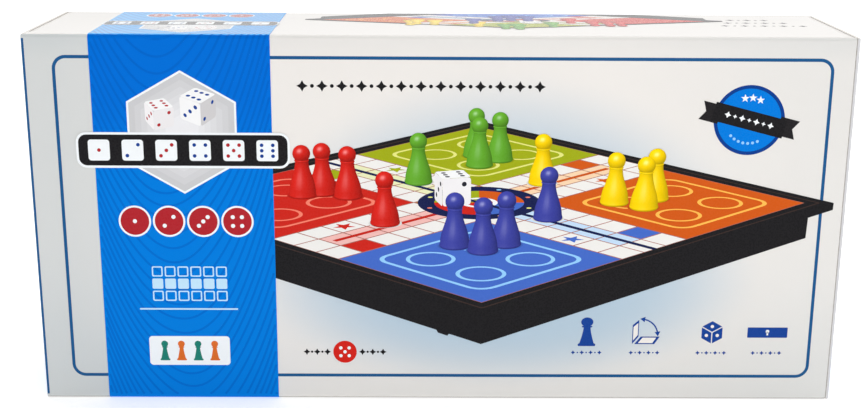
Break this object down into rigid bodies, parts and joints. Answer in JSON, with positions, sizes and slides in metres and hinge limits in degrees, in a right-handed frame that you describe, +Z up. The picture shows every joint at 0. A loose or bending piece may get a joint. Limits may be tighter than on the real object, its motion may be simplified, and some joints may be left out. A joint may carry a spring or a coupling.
{
  "type": "boxed folding ludo board",
  "caption": "Printed tuck-end carton standing on its long side, with end flaps that open and a folded ludo board case, pawns and die inside.",
  "frame": {"origin": "middle of the carton's base", "axes": "+X along the carton's length to its right end, -Y out of the front panel, +Z up"},
  "size_m": [0.276, 0.06, 0.1285],
  "materials": {
    "carton_print": "gloss-varnished printed micro-flute board, white with an azure band",
    "plain_board": "uncoated micro-flute board, white liner",
    "black_plastic": "fine-textured moulded plastic",
    "printed_steel": "printed and varnished tin-plate",
    "pin_steel": "drawn wire",
    "red_plastic": "glossy moulded plastic",
    "green_plastic": "glossy moulded plastic",
    "yellow_plastic": "glossy moulded plastic",
    "blue_plastic": "glossy moulded plastic",
    "magnet_steel": "plated disc magnet",
    "white_plastic": "glossy moulded plastic with dark pips",
    "paper": "thin printed paper"
  },
  "bodies": {
    "carton": {"carton_sleeve": "carton_print", "front_half_tray": "black_plastic", "back_half_tray": "black_plastic", "front_play_sheet": "printed_steel", "back_play_sheet": "printed_steel", "left_hinge_pin": "pin_steel", "right_hinge_pin": "pin_steel", "latch_clip": "black_plastic", "latch_pin": "pin_steel", "red_pawns": "red_plastic", "green_pawns": "green_plastic", "yellow_pawns": "yellow_plastic", "blue_pawns": "blue_plastic", "pawn_magnets": "magnet_steel", "die": "white_plastic", "rules_leaflet": "paper"},
    "right_tuck": {"right_tuck_flap": "carton_print"},
    "right_upper_dust": {"right_upper_dust_flap": "plain_board"},
    "right_lower_dust": {"right_lower_dust_flap": "plain_board"},
    "left_tuck": {"left_tuck_flap": "carton_print"},
    "left_upper_dust": {"left_upper_dust_flap": "plain_board"},
    "left_lower_dust": {"left_lower_dust_flap": "plain_board"}
  },
  "joints": [
    {"name": "right_tuck_hinge", "type": "hinge", "parent": "carton", "child": "right_tuck", "pos_m": [0.1374, -0.0294, 0.06425], "axis": [0, 0, -1], "range_deg": [0, 180]},
    {"name": "left_tuck_hinge", "type": "hinge", "parent": "carton", "child": "left_tuck", "pos_m": [-0.1374, 0.0294, 0.06425], "axis": [0, 0, -1], "range_deg": [0, 180]},
    {"name": "right_upper_dust_hinge", "type": "hinge", "parent": "carton", "child": "right_upper_dust", "pos_m": [0.136, 0, 0.1276], "axis": [0, -1, 0], "range_deg": [0, 90]},
    {"name": "right_lower_dust_hinge", "type": "hinge", "parent": "carton", "child": "right_lower_dust", "pos_m": [0.136, 0, 0.0009], "axis": [0, 1, 0], "range_deg": [0, 90]},
    {"name": "left_upper_dust_hinge", "type": "hinge", "parent": "carton", "child": "left_upper_dust", "pos_m": [-0.136, 0, 0.1276], "axis": [0, 1, 0], "range_deg": [0, 90]},
    {"name": "left_lower_dust_hinge", "type": "hinge", "parent": "carton", "child": "left_lower_dust", "pos_m": [-0.136, 0, 0.0009], "axis": [0, -1, 0], "range_deg": [0, 90]}
  ],
  "couplings": [
    {"joint": "right_upper_dust_hinge", "follows": "right_tuck_hinge", "ratio": 0.5},
    {"joint": "right_lower_dust_hinge", "follows": "right_tuck_hinge", "ratio": 0.5},
    {"joint": "left_upper_dust_hinge", "follows": "left_tuck_hinge", "ratio": 0.5},
    {"joint": "left_lower_dust_hinge", "follows": "left_tuck_hinge", "ratio": 0.5}
  ]
}
